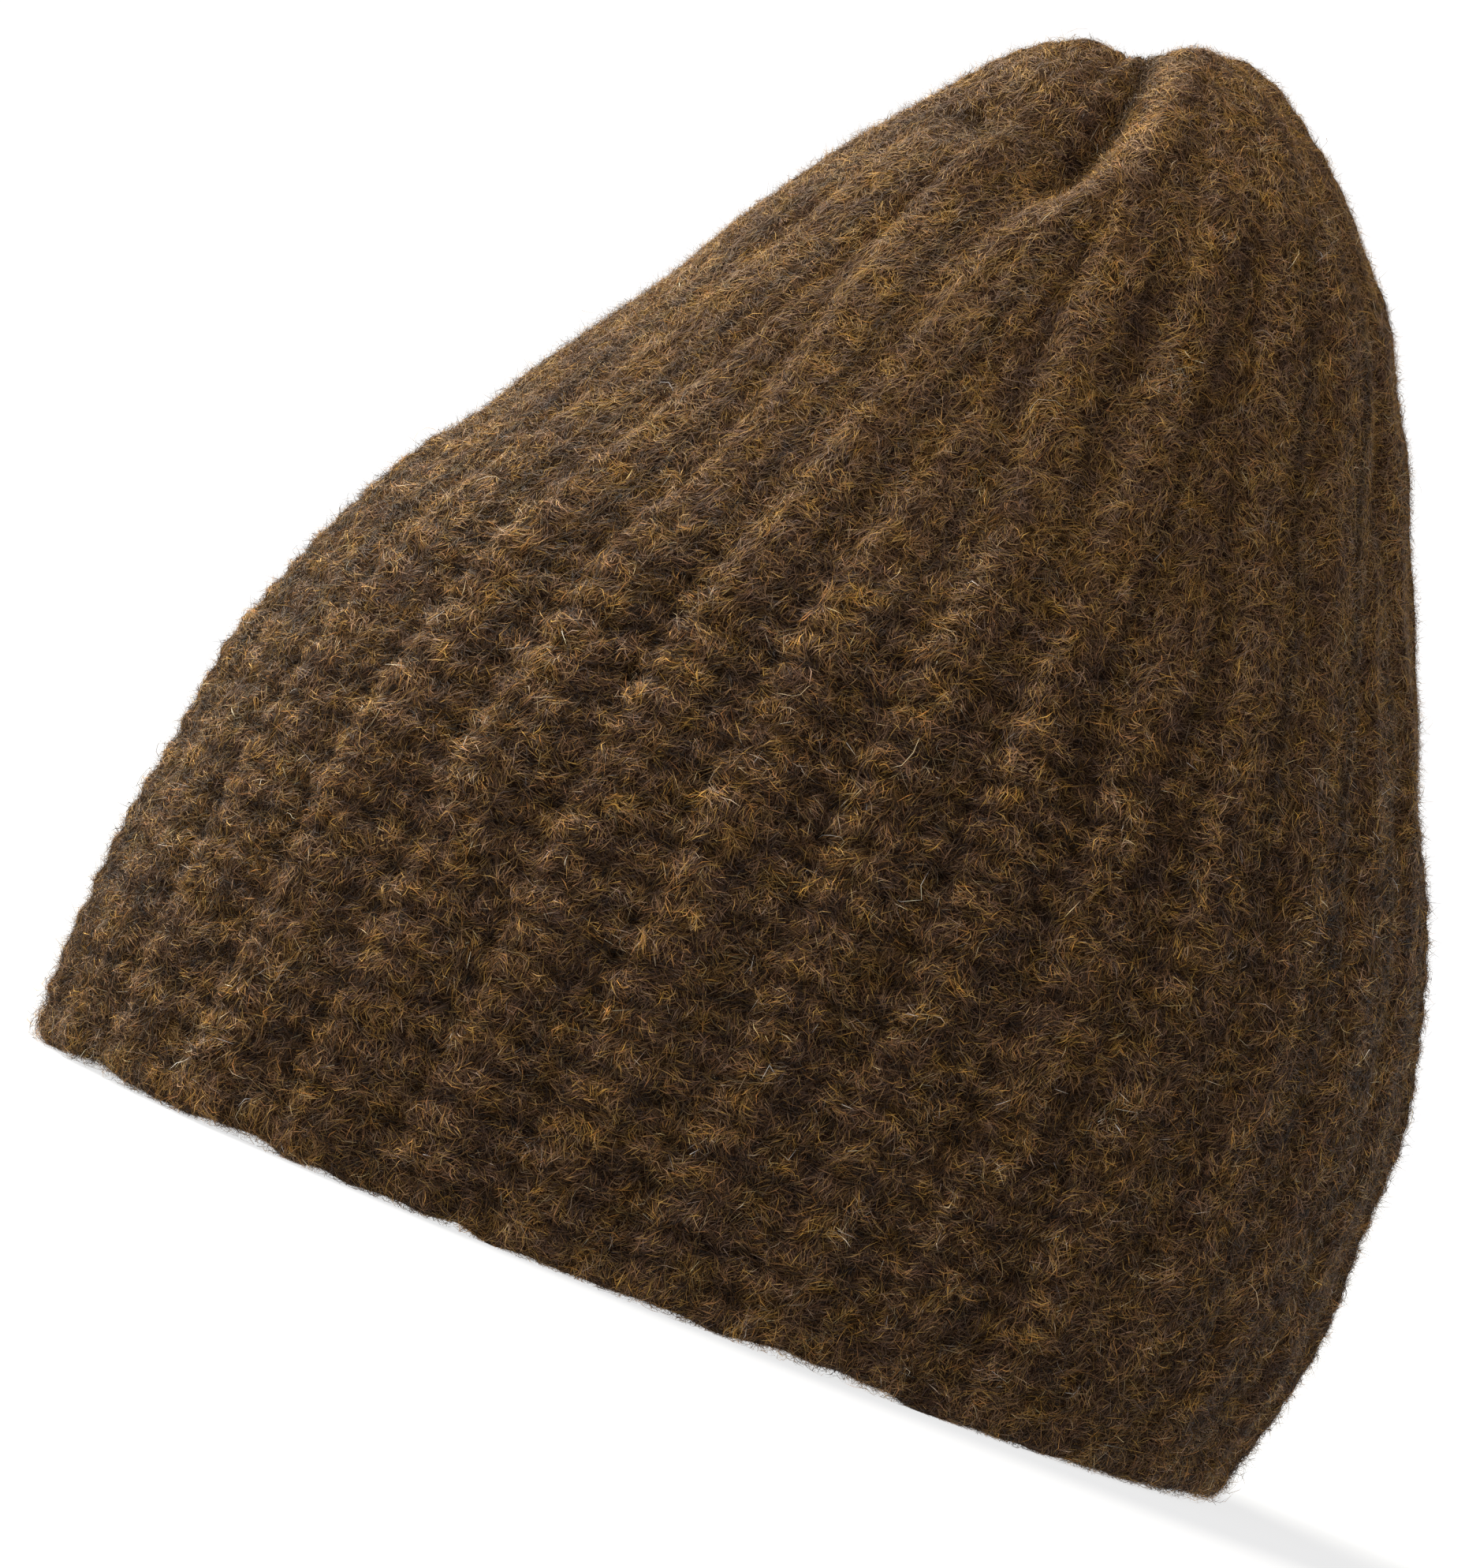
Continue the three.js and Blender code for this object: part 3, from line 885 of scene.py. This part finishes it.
@dataclass
class KnitWall:
    """The knitted wall as one closed shell: inner skin, rounded cast-on edge and stitched outer skin."""

    form: CapForm
    stitches: Stitches = field(default_factory=Stitches)
    columns: int = 420  # points around the wall
    rows: int = 192  # rows of points up the outer skin
    edge_rows: int = 9  # rows around the cast-on edge
    edge_height: float = 4.0  # height of its rounding
    edge_round: float = 0.8  # power that shapes the rounding
    edge_wave: float = 0.8  # height of its waves above the floor
    wave_level: float = 0.9  # middle of the waves, as a share of that height
    scallop: float = 0.5  # share of it in a scallop at each rib
    scallop_place: float = 0.25  # place across the rib of the scallop's low point
    # random waves of the edge, long and short
    waves: tuple[RandomField, ...] = (RandomField(38.0, 6, 12, 0.6), RandomField(9.0, 7, 20, 0.25))
    edge_blend: float = 12.0  # height over which the waves die out
    # how far the ribs stand right of the form's, in ribs: at the left, the front, above, above on the right
    drift: tuple[float, float, float, float] = (0.06, 0.14, 0.28, 0.1)
    # heights where the upper drift sets in, is full, and is full on the right
    drift_from: tuple[float, float, float] = (95.0, 130.0, 160.0)
    # turns that the left and the right side of the drift are moved by
    drift_turns: Pair = (0.55, -0.25)
    drift_slope: float = 1.2  # how sharply the sides are told apart
    wander: RandomField = RandomField(45.0, 3, 12, 0.005)  # sideways wandering of the ribs, in radians
    unevenness: RandomField = RandomField(22.0, 5, 12, 0.28)
    calm_width: float = 14.0  # half-width below which stitches and unevenness die out
    crease_shade: float = 0.72  # share of the stitch shade value lost along the painted crease shade lines, and gained on the painted highlight
    inner_stitch_shade: float = 0.55  # painted shade value inside
    pole_stitch_shades: Pair = (0.5, 0.3)  # the same at the inner and the outer pole

    def turns(self) -> Array:
        """Evenly spaced places around the wall, as one row."""
        return (self.form.group_start + np.arange(self.columns) / self.columns * FULL_TURN)[None, :]

    def lift(self) -> Array:
        """Height of the cast-on edge above the floor: random waves with a scallop at each rib.

        Returns:
            The height for each column.
        """
        brim = self.form.row(np.zeros((1, 1)))
        turn = self.turns()
        rim = together(brim.half_width * np.sin(turn), -brim.half_depth * np.cos(turn), 0.0)
        across = self.form.ribs_at(turn, np.zeros(turn.shape)).across
        level = self.wave_level + self.scallop * (1.0 - crest(across - self.scallop_place))
        return self.edge_wave * np.maximum(level + sum(wave.at(rim) for wave in self.waves), 0.0)

    def shift(self, turn: Array, points: Array) -> Array:
        """Small turn that the ribs are shifted by: a drift that changes over the cap, and a random wander.

        Args:
            turn: Place around the wall in radians.
            points: Points of the wall before the ribs are shifted.

        Returns:
            What to add to the turn where ribs are looked up.
        """
        left, front, above, above_right = self.drift
        low, high, top = self.drift_from
        left_turn, right_turn = self.drift_turns
        z = points[..., 2]
        to_left = smooth(0.5 - self.drift_slope * np.sin(turn + left_turn))
        to_right = smooth(0.5 + self.drift_slope * np.sin(turn + right_turn)) * smooth(z, high, top)
        share = lerp(lerp(front, left, to_left), lerp(above, above_right, to_right), smooth(z, low, high))
        rib = FULL_TURN / (self.form.groups * self.form.ribs_in_group)
        return self.wander.at(points) - share * rib

    def outer(self) -> Skin:
        """The cast-on edge and the outer skin, which is the form's moved out by stitches and unevenness.

        Returns:
            The grid of the skin.
        """
        stations, along = self.form.even_stations(self.rows)
        turn, station, along = self.turns(), stations[:, None], along[:, None]
        level = self.form.row(station)
        plain, _, _ = self.form.skin(turn, station)
        wobble = self.shift(turn, plain)
        points, out, crease_shade_and_light = self.form.skin(turn, station, wobble=wobble)
        girth = FULL_TURN * np.sqrt((level.half_width**2 + level.half_depth**2) / 2.0)
        ribs = self.form.ribs_at(turn + wobble, points[..., 2])
        relief, stitch_shade, yarn = self.stitches.relief(ribs, girth, along, points[..., 2], plain)
        crown = smooth(level.half_width, 0.0, self.calm_width)
        points = points + out * ((relief + self.unevenness.at(plain)) * crown)[..., None]
        points[..., 2] += self.lift() * (1.0 - smooth(along, 0.0, self.edge_blend))
        # painted shade along the creases, and painted highlight on the ridge beside the main one
        stitch_shade = stitch_shade * (1.0 - self.crease_shade * np.clip(crease_shade_and_light, -1.0, 1.0))
        edge = self.edge(points[0], self.inner()[0])[::-1]
        stitch_shade, yarn = (np.concatenate([np.repeat(v[:1], self.edge_rows, axis=0), v]) for v in (stitch_shade, yarn))
        return Skin(np.concatenate([edge, points]), stitch_shade, yarn)

    def inner(self) -> Array:
        """The inner skin's rows, from the brim to just short of the pole.

        Returns:
            Its points.
        """
        stations = np.arange(self.form.last_station, dtype=float)[:, None]
        points, _, _ = self.form.skin(self.turns(), stations, inner=True)
        points[..., 2] += self.lift() * (1.0 - smooth((points[..., 2] - self.edge_height) / self.edge_blend))
        return points

    def edge(self, outer: Array, inner: Array) -> Array:
        """The cast-on edge: half a turn from the outer skin's first row, under the wall, to the inner one's.

        Level, a point moves from outer to inner as (1 - cos t) / 2. Its height is the edge's lift and
        edge_height times 1 - sin(t)^edge_round, so that it is lowest in the middle.

        Args:
            outer: First row of the outer skin.
            inner: First row of the inner skin.

        Returns:
            The edge's rows, from the outer to the inner side.
        """
        t = (np.pi * np.arange(1, self.edge_rows + 1) / (self.edge_rows + 1))[:, None, None]
        rows = lerp(outer[None], inner[None], (1.0 - np.cos(t)) / 2.0)
        rows[..., 2] = self.lift() + self.edge_height * (1.0 - np.sin(t[..., 0]) ** self.edge_round)
        return rows

    def build(self, skin: Skin) -> Object:
        """Joins the rows into a closed shell with a fan of triangles at either pole.

        Args:
            skin: The outer skin's grid.

        Returns:
            The wall's object.
        """
        inner = self.inner()
        rings = np.concatenate([inner[::-1], skin.points])
        station = np.array([[float(self.form.last_station)]])
        poles = [self.form.skin(self.turns()[:, :1], station, inner=side)[0][0] for side in (True, False)]
        points = np.concatenate([rings.reshape(-1, 3), *poles])
        first = np.arange(self.columns)
        beside = np.roll(first, -1)
        starts = np.arange(len(rings))[:, None] * self.columns
        a, b = ((starts[:-1] + column).ravel() for column in (first, beside))
        c, d = ((starts[1:] + column).ravel() for column in (first, beside))
        inner_pole, outer_pole = (np.full_like(first, starts.size * self.columns + k) for k in (0, 1))
        triangles = (a, b, d), (a, d, c), (inner_pole, beside, first)
        triangles += ((outer_pole, starts[-1] + first, starts[-1] + beside),)
        faces = np.concatenate([np.stack(corners, axis=1) for corners in triangles])
        inner_stitch_shade = np.full(len(inner) * self.columns, self.inner_stitch_shade)
        stitch_shade = np.concatenate([inner_stitch_shade, skin.stitch_shade.ravel(), self.pole_stitch_shades])
        return add_mesh("knit_wall", points, faces, {"stitch_shade": stitch_shade})


@dataclass(frozen=True)
class StrandCut:
    """How one kind of loose fibre is cut and laid."""

    name: str
    count: int
    length: Pair  # shortest and longest strand
    width: float  # between its pointed ends
    rise: tuple[float, ...]  # angle above the wall of each straight part, in degrees
    rise_spread: float  # spread of those angles from strand to strand, in degrees
    curl: float  # spread of the sideways turn from one part to the next, in degrees
    stray: float  # spread of the heading about the yarn's own, in degrees
    twist: float  # how far the flat of a strand turns away from the wall, 0 to 1
    sink: float  # depth of the root
    tint: Pair  # middle and spread of its place in the palette
    gain: Pair  # painted shade at the root and painted light at the tip: brightness at each
    seed: int
    part: float = 1.0  # share of the wall, from the cast-on edge up, that it grows on


class Nap(Enum):
    """The kinds of loose fibre on the cap."""

    LYING = StrandCut(
        "nap_lying", 185000, (1.4, 2.4), 0.13, (4,), 5, 0, 16, 0.4, -0.05, (0.40, 0.13), (0.78, 1.05), 21
    )
    CROSSED = StrandCut(
        "nap_crossed", 185000, (1.4, 2.6), 0.12, (9,), 7, 0, 28, 0.45, -0.05, (0.42, 0.14), (0.68, 1.15), 22
    )
    OPEN = StrandCut(
        "nap_open", 97000, (2.0, 4.2), 0.12, (18, -4), 9, 14, 30, 0.6, 0.1, (0.44, 0.14), (0.68, 1.22), 23
    )
    RAISED = StrandCut(
        "nap_raised", 190000, (1.2, 3.8), 0.075, (36,), 15, 0, 70, 1.0, 0.1, (0.53, 0.15), (0.66, 1.6), 24
    )
    STRAY = StrandCut(
        "stray_hairs", 1200, (4.0, 9.0), 0.055, (40, 20, 0, -16, -34), 14, 18, 120, 1.2, 0.2,
        (0.72, 0.12), (0.7, 1.1), 25,
    )
    EDGE = StrandCut(
        "edge_hairs", 9000, (2.0, 5.0), 0.06, (46, 14, -10), 16, 34, 90, 1.2, 0.1,
        (0.5, 0.15), (0.8, 1.5), 26, 0.045,
    )


@dataclass
class FibreCoat:
    """The cap's nap: loose fibres as narrow strips of a few triangles, scattered over the dressed skin."""

    skin: Skin
    widths: Pair = (0.7, 1.3)  # thinnest and thickest fibre, as shares of a cut's width
    swirls: RandomField = RandomField(9.0, 31, 12, float(np.radians(60.0)))  # turns of the locks, in radians
    tufts: RandomField = RandomField(5.0, 33, 24)  # far from 0 on tufts, and 0 in the gaps between them
    tuft_full: float = 1.1  # how far that is where a tuft is full
    tuft_lift: float = 0.15  # how far a full tuft's fibres stand out
    tuft_shade: Pair = (0.85, 1.06)  # painted shade in the gaps between tufts, and brightness on the tufts
    crown_tuft: Pair = (0.7, 0.7)  # tuft that the felted crown nears all over, and how near
    stitch_shade_range: Pair = (0.06, 1.4)  # painted shade in the holes of the knitting, and brightness on its crests
    fade: Pair = (30.0, 180.0)  # heights between which the painted light brightens the fibres towards the crown
    crown_light: Pair = (0.93, 1.26)  # painted light: brightness below and above them
    tones: RandomField = RandomField(9.0, 32, 12, 0.06)  # patches with one tint
    tint_range: Pair = (0.02, 0.98)
    uneven: Pair = (0.8, 0.5)  # spread of the brightness to the dark and the bright side
    locks: RandomField = RandomField(1.8, 34, 24)  # locks of fibres that are alike in brightness
    lock_share: float = 0.6  # share of the spread that goes by locks
    own_mean: float = 1.07  # middle of the fibres' own brightness
    own_range: Pair = (0.08, 1.9)
    felted: Pair = (88.0, 150.0)  # heights between which the crown gets finer and more even
    calm: float = 0.42  # share of the spread of brightness left there
    calm_tint: float = 0.75  # share of the spread of tint left there
    fine: float = 0.74  # width of the fibres there, as a share
    warm: float = 0.045  # how much further along the palette they are there
    floor_gap: float = 0.15  # least height of a fibre above the floor

    def dye(self, cut: StrandCut, roots: Array, crown: Array, rng: Generator) -> tuple[Array, Array]:
        """Tint and brightness of each fibre, by its own random numbers, its patch, its lock and painted light
        by height.

        Args:
            cut: The kind of fibre.
            roots: Where the fibres start.
            crown: How far each is in the felted crown, 0 to 1.
            rng: Source of the random numbers.

        Returns:
            The tint, and the brightness, one of each for a fibre.
        """
        middle, width = cut.tint
        own = width * lerp(1.0, self.calm_tint, crown) * rng.normal(size=cut.count)
        tint = np.clip(middle + self.warm * crown + own + self.tones.at(roots), *self.tint_range)
        alone = np.sqrt(1.0 - self.lock_share**2) * rng.normal(size=cut.count)
        mixed = self.lock_share * self.locks.at(roots) + alone
        spread = np.where(mixed < 0.0, *self.uneven) * lerp(1.0, self.calm, crown)
        bright = np.clip(self.own_mean + spread * mixed, *self.own_range)
        # painted light: fibres brighter towards the crown
        return tint, bright * lerp(*self.crown_light, smooth(roots[:, 2], *self.fade))

    def strands(self, cut: StrandCut) -> tuple[Array, Faces, dict[str, Array]]:
        """Lays one kind of fibre.

        A strand starts at the surface and goes on over it in straight parts, each at its own angle above it.
        Its heading is the yarn's direction, turned by a swirl and by its own random amount, and turns again
        at each part. It is a strip with a point at either end, or a sliver where it has one part.

        Args:
            cut: The kind of fibre.

        Returns:
            Points, triangles, and the tint and shade of each point.
        """
        rng = np.random.default_rng(cut.seed)
        row, column = self.skin.scatter(cut.count, cut.part, rng)
        place = self.skin.at(row, column)
        roots = place["points"]
        heading = place["yarn"] + np.radians(cut.stray) * rng.normal(size=cut.count)
        heading = heading + np.pi * rng.integers(0, 2, cut.count)
        tilt = np.radians(cut.rise_spread) * rng.normal(size=cut.count)
        facing = unit(place["normals"] + cut.twist * unit(rng.normal(size=(cut.count, 3))))
        crown = smooth(roots[:, 2], *self.felted)
        half = (cut.width * rng.uniform(*self.widths, cut.count) * lerp(1.0, self.fine, crown))[:, None] / 2.0
        parts = len(cut.rise)
        reach = rng.uniform(*cut.length, cut.count) / parts
        height = np.full(cut.count, -cut.sink)
        crown_tuft, nearly = self.crown_tuft
        rail, shades = [], []
        for k in range(parts + 1):
            tuft = smooth(np.abs(self.tufts.at(place["points"])) / self.tuft_full)
            tuft = lerp(tuft, crown_tuft, nearly * crown)
            rail.append(place["points"] + place["normals"] * (height + self.tuft_lift * tuft)[:, None])
            # painted shade in the knitting's holes and in the gaps between the tufts
            shade = lerp(*self.stitch_shade_range, place["stitch_shade"]) * lerp(*self.tuft_shade, tuft)
            # painted shade at the root and painted light towards the tip
            shades.append(shade * lerp(*cut.gain, k / parts))
            if k < parts:
                way = heading + self.swirls.at(place["points"])
                angle = np.radians(cut.rise[k]) + tilt
                row = row + np.cos(way) * np.cos(angle) * reach / place["up_span"]
                column = column + np.sin(way) * np.cos(angle) * reach / place["side_span"]
                height = height + np.sin(angle) * reach
                heading = heading + np.radians(cut.curl) * rng.normal(size=cut.count)
                place = self.skin.at(row, column)
        points, shade = [], []
        for k, here in enumerate(rail):
            aside = half * unit(np.cross(rail[min(k + 1, parts)] - rail[max(k - 1, 0)], facing))
            pair = 0 < k < parts or (parts == 1 and k == 0)
            points += [here + aside, here - aside] if pair else [here]
            shade += [shades[k]] * (2 if pair else 1)
        points = np.stack(points, axis=1)
        points[..., 2] = np.maximum(points[..., 2], self.floor_gap)
        last = points.shape[1] - 1
        corners = [(0, 1, 2)] if parts > 1 else []
        for k in range(1, last - 2, 2):
            corners += [(k, k + 2, k + 3), (k, k + 3, k + 1)]
        corners.append((last - 2, last, last - 1))
        faces = (np.arange(cut.count)[:, None, None] * (last + 1) + np.array(corners)[None]).reshape(-1, 3)
        tint, bright = self.dye(cut, roots, crown, rng)
        tint, shade = np.repeat(tint[:, None], last + 1, axis=1), np.stack(shade, axis=1) * bright[:, None]
        return points.reshape(-1, 3), faces, {"tint": tint, "shade": shade}

    def build(self, kind: Nap) -> Object:
        """Makes the piece of one kind of fibre."""
        return add_mesh(kind.value.name, *self.strands(kind.value))


@dataclass
class Beanie:
    """The whole cap: its wall and its nap, each with its finish."""

    form: CapForm = field(default_factory=CapForm)
    felt: FeltedWool = field(default_factory=FeltedWool)
    fibre: LooseFibre = field(default_factory=LooseFibre)

    def dress(self, piece: Object, finish: Material) -> Object:
        """Gives a piece its finish and lets it ride on the cap.

        Args:
            piece: The piece.
            finish: Its material.

        Returns:
            The same piece.
        """
        piece.data.materials.append(finish)
        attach(piece, "root")
        piece.data.calc_loop_triangles()
        LOG.info("%s: %d triangles", piece.name, len(piece.data.loop_triangles))
        return piece

    def build(self) -> None:
        """Builds the wall, then each kind of fibre on a finer grid of its skin."""
        groups = WoolGroups(WoolGroups.make_palette(), WoolGroups.make_patches())
        wall = KnitWall(self.form)
        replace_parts(self.dress(wall.build(wall.outer()), self.felt.material(groups)), "knit_body")
        coat = FibreCoat(KnitWall(self.form, columns=2 * wall.columns, rows=2 * wall.rows).outer())
        loose = self.fibre.material(groups)
        for kind in Nap:
            self.dress(coat.build(kind), loose)


@dataclass(frozen=True)
class Sun:
    """A soft light that is the same all over the set."""

    name: str
    towards: tuple[float, float, float]  # direction from the cap to the light
    strength: float
    spread: float  # its size in the sky, in degrees
    colour: tuple[float, float, float] = (1.0, 1.0, 1.0)

    def place(self) -> None:
        """Adds the light to the scene, shining from its direction to the cap."""
        data = bpy.data.lights.new(self.name, "SUN")
        data.energy, data.angle, data.color = self.strength, float(np.radians(self.spread)), self.colour
        add_object(self.name, data).rotation_euler = Vector(self.towards).to_track_quat("Z", "Y").to_euler()


@dataclass(frozen=True)
class Studio:
    """Plain pale floor, white surroundings, soft lights and the photograph's camera."""

    aim: tuple[float, float, float] = (-16.3, 0.0, 79.9)  # point of the cap in the middle of the image
    distance: float = 1100.0  # from there to the camera
    elevation: float = -1.04  # of the camera above that point, in degrees
    roll: float = 21.63  # lean of the cap in the image, in degrees clockwise
    scale: float = 0.1284  # millimetres for each pixel of the image at the aim point
    image_height: int = 1988  # pixels along the image's long side
    sensor: float = 36.0
    clip: Pair = (0.05, 100.0)  # nearest and farthest that the camera sees, in metres
    surround: float = 0.14  # strength of the white surroundings as a light
    surround_seen: float = 1.1  # the same where the camera looks
    floor_half: float = 40.0  # half of the floor's side, in metres
    paper: float = 0.14  # brightness of the floor
    paper_glow: float = 0.78  # light that comes up through it, as on a lit table
    lights: tuple[Sun, ...] = (
        Sun("key", (-0.65, 0.06, 0.76), 4.35, 28.0, (1.02, 0.99, 0.93)),
        Sun("high", (-0.5, 0.35, 0.8), 4.1, 40.0, (1.03, 1.0, 0.91)),
        Sun("front_fill", (-0.08, -0.9, 0.35), 1.32, 90.0, (0.98, 1.0, 1.14)),
        Sun("rim_left", (-0.75, 0.6, 0.3), 1.8, 25.0, (1.02, 1.0, 0.88)),
        Sun("rim_right", (0.8, 0.55, 0.3), 0.8, 25.0),
    )

    def camera(self) -> None:
        """Camera at the photograph's angle, turned about its own axis so that the cap leans as there."""
        e, r = np.radians(self.elevation), np.radians(self.roll)
        back = Vector((0.0, -np.cos(e), np.sin(e)))
        right, up = Vector((1.0, 0.0, 0.0)), Vector((0.0, np.sin(e), np.cos(e)))
        across = right * np.cos(r) + up * np.sin(r)
        above = up * np.cos(r) - right * np.sin(r)
        data = bpy.data.cameras.new("photo_camera")
        data.sensor_width = self.sensor
        data.lens = self.sensor * self.distance / (self.image_height * self.scale)
        data.clip_start, data.clip_end = self.clip
        place = (Vector(self.aim) + back * self.distance) * MM
        eye = add_object("photo_camera", data)
        eye.matrix_world = Matrix.Translation(place) @ Matrix((across, above, back)).transposed().to_4x4()
        bpy.context.scene.camera = eye

    def floor(self) -> None:
        """A wide sheet of plain white paper at the height of the brim."""
        mesh = bpy.data.meshes.new("studio_floor")
        half = self.floor_half
        corners = (-half, -half, 0), (half, -half, 0), (half, half, 0), (-half, half, 0)
        mesh.from_pydata(corners, [], [(0, 1, 2, 3)])
        look = {"Base Color": (self.paper, self.paper, self.paper, 1.0), "Roughness": 1.0}
        look |= {"Specular IOR Level": 0.0, "Emission Color": WHITE, "Emission Strength": self.paper_glow}
        mesh.materials.append(new_material("studio_paper", look)[0])
        add_object("studio_floor", mesh)

    def surroundings(self) -> None:
        """White all round: fully white where the camera looks, and dimmer as a light."""
        world = bpy.data.worlds.new("white_room")
        bpy.context.scene.world = world
        world.use_nodes = True
        graph = Graph(world.node_tree)
        seen = graph.add("LightPath").outputs["Is Camera Ray"]
        change = {"Value": seen, "To Min": self.surround, "To Max": self.surround_seen}
        strength = graph.add("MapRange", change).outputs["Result"]
        graph.fill(world.node_tree.nodes["Background"], {"Color": WHITE, "Strength": strength})

    def build(self) -> None:
        """Sets up the camera, floor, surroundings and lights, and shows light as it is."""
        self.camera()
        self.floor()
        self.surroundings()
        for light in self.lights:
            light.place()
        bpy.context.scene.view_settings.view_transform = "Standard"
        LOG.info("studio: %d lights", len(self.lights))


def main() -> None:
    """Loads the frame, and builds the studio and the cap, whose pieces note their triangle counts."""
    logging.basicConfig(level=logging.INFO, format="%(name)s: %(message)s")
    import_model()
    Studio().build()
    Beanie().build()
    bpy.context.view_layer.update()


if __name__ == "__main__":
    main()
